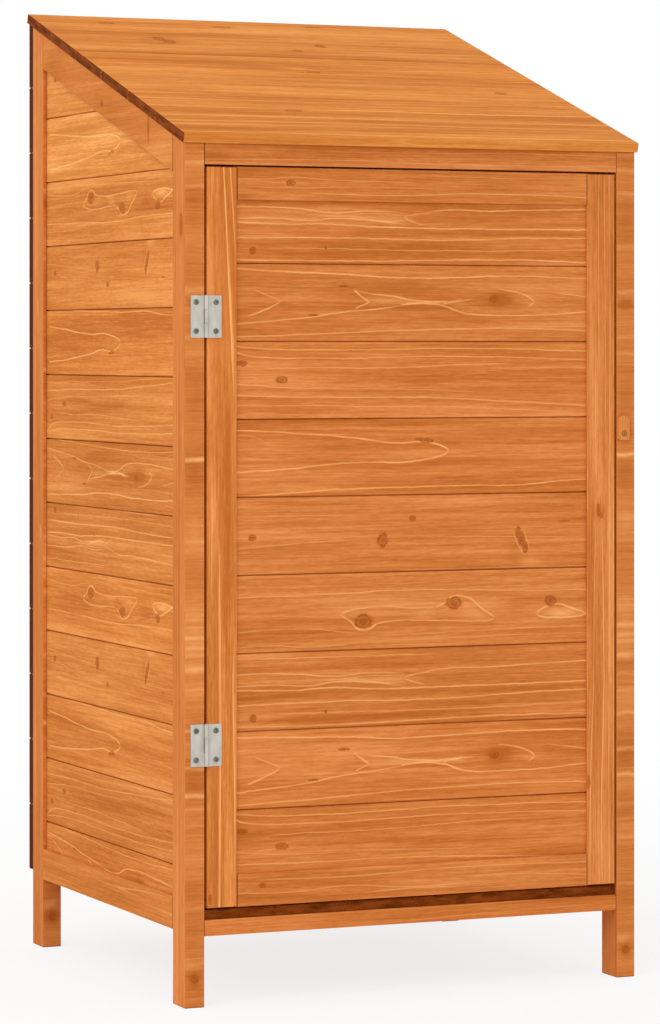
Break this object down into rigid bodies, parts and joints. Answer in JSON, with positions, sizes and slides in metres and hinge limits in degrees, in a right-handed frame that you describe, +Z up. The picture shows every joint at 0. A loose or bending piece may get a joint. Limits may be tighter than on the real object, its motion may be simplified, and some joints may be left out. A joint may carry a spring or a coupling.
{
  "type": "garden tool shed",
  "caption": "Narrow wooden garden tool shed on four legs, with a sloping plank roof, a hinged framed door and a wooden turn button.",
  "frame": {"origin": "on the ground, below the middle of the roof", "axes": "+X to the right as seen from the front, +Y to the back, +Z up"},
  "size_m": [0.555, 0.526, 1.1198],
  "materials": {
    "frame_wood": "honey-stained fir, planed",
    "wall_wood": "honey-stained fir, planed",
    "roof_wood": "honey-stained fir, planed",
    "door_board_wood": "honey-stained fir, planed",
    "door_frame_wood": "honey-stained fir, planed",
    "floor_wood": "honey-stained fir, dark end grain",
    "button_wood": "honey-stained fir, eased edges",
    "hinge_steel": "zinc plated, satin",
    "screw_steel": "dull zinc"
  },
  "bodies": {
    "frame": {"back_bottom_rail": "frame_wood", "back_left_post": "frame_wood", "back_right_post": "frame_wood", "back_top_rail": "frame_wood", "back_wall_boards": "wall_wood", "bottom_hinge_pin": "hinge_steel", "bottom_hinge_post_leaf": "hinge_steel", "floor_board_1": "floor_wood", "floor_board_2": "floor_wood", "floor_board_3": "floor_wood", "floor_board_4": "floor_wood", "floor_board_5": "floor_wood", "floor_board_6": "floor_wood", "front_header": "frame_wood", "front_left_post": "frame_wood", "front_right_post": "frame_wood", "front_sill": "frame_wood", "hinge_post_screws": "screw_steel", "left_bottom_rail": "frame_wood", "left_top_rail": "frame_wood", "left_wall_boards": "wall_wood", "left_wall_cut_board_1": "wall_wood", "left_wall_cut_board_2": "wall_wood", "left_wall_cut_board_3": "wall_wood", "left_wall_cut_board_4": "wall_wood", "right_bottom_rail": "frame_wood", "right_top_rail": "frame_wood", "right_wall_boards": "wall_wood", "right_wall_cut_board_1": "wall_wood", "right_wall_cut_board_2": "wall_wood", "right_wall_cut_board_3": "wall_wood", "right_wall_cut_board_4": "wall_wood", "roof_board_1": "roof_wood", "roof_board_2": "roof_wood", "roof_board_3": "roof_wood", "roof_board_4": "roof_wood", "roof_board_5": "roof_wood", "roof_board_6": "roof_wood", "top_hinge_pin": "hinge_steel", "top_hinge_post_leaf": "hinge_steel", "turn_button_screw": "screw_steel"},
    "door": {"bottom_hinge_door_leaf": "hinge_steel", "door_board_1": "door_board_wood", "door_board_2": "door_board_wood", "door_board_3": "door_board_wood", "door_board_4": "door_board_wood", "door_board_5": "door_board_wood", "door_board_6": "door_board_wood", "door_board_7": "door_board_wood", "door_board_8": "door_board_wood", "door_board_9": "door_board_wood", "door_bottom_rail": "door_frame_wood", "door_left_stile": "door_frame_wood", "door_right_stile": "door_frame_wood", "door_top_rail": "door_frame_wood", "hinge_door_screws": "screw_steel", "top_hinge_door_leaf": "hinge_steel"},
    "button": {"turn_button": "button_wood"}
  },
  "joints": [
    {"name": "door_swing", "type": "hinge", "parent": "frame", "child": "door", "pos_m": [-0.2505, -0.2598, 0.5], "axis": [0, 0, -1], "range_deg": [0, 165]},
    {"name": "button_turn", "type": "hinge", "parent": "frame", "child": "button", "pos_m": [0.259, -0.2604, 0.62], "axis": [0, -1, 0], "continuous": true}
  ]
}
